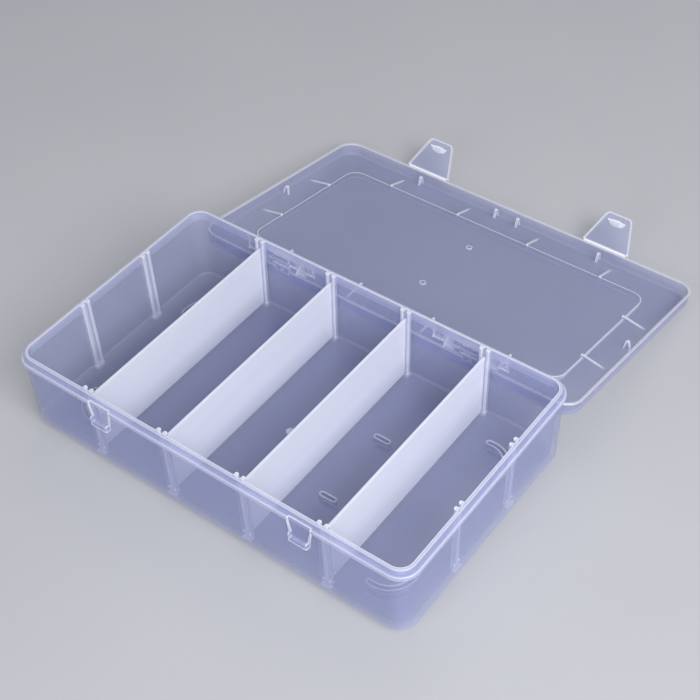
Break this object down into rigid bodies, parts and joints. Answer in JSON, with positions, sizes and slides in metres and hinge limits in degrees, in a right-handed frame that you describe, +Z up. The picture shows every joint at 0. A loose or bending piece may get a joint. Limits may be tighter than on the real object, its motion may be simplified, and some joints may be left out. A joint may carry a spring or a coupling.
{
  "type": "compartment storage box",
  "caption": "Small see-through plastic storage box lying open, with loose milk-white divider sheets, a hinged lid and two snap latches.",
  "frame": {"origin": "on the ground under the middle of the open box's footprint, tray and open lid with its latches together", "axes": "+X along the tray's front wall, to the right as seen from the front; +Y from the tray to the open lid; +Z up"},
  "size_m": [0.18, 0.226, 0.039],
  "materials": {
    "clear_polypropylene": "see-through moulded polypropylene, smooth and slightly milky, brighter along its edges",
    "milk_polypropylene": "milk-white polypropylene sheet with a satin skin"
  },
  "bodies": {
    "tray": {"tray": "clear_polypropylene"},
    "lid": {"lid": "clear_polypropylene"},
    "latch_left": {"latch_left": "clear_polypropylene"},
    "latch_right": {"latch_right": "clear_polypropylene"},
    "divider_1": {"divider_1": "milk_polypropylene"},
    "divider_2": {"divider_2": "milk_polypropylene"},
    "divider_3": {"divider_3": "milk_polypropylene"},
    "divider_4": {"divider_4": "milk_polypropylene"}
  },
  "joints": [
    {"name": "lid_hinge", "type": "hinge", "parent": "tray", "child": "lid", "pos_m": [0, -0.00421, 0.03095], "axis": [-1, 0, 0], "range_deg": [-190.35, 0]},
    {"name": "latch_left_hinge", "type": "hinge", "parent": "lid", "child": "latch_left", "pos_m": [-0.046, 0.10042, 0.00549], "axis": [-1, 0, 0], "range_deg": [-28, 51]},
    {"name": "latch_right_hinge", "type": "hinge", "parent": "lid", "child": "latch_right", "pos_m": [0.046, 0.10042, 0.00549], "axis": [-1, 0, 0], "range_deg": [-28, 51]},
    {"name": "divider_1_lift", "type": "slide", "parent": "tray", "child": "divider_1", "axis": [0, 0, 1], "range_m": [0, 0.04]},
    {"name": "divider_2_lift", "type": "slide", "parent": "tray", "child": "divider_2", "axis": [0, 0, 1], "range_m": [0, 0.04]},
    {"name": "divider_3_lift", "type": "slide", "parent": "tray", "child": "divider_3", "axis": [0, 0, 1], "range_m": [0, 0.04]},
    {"name": "divider_4_lift", "type": "slide", "parent": "tray", "child": "divider_4", "axis": [0, 0, 1], "range_m": [0, 0.04]}
  ]
}
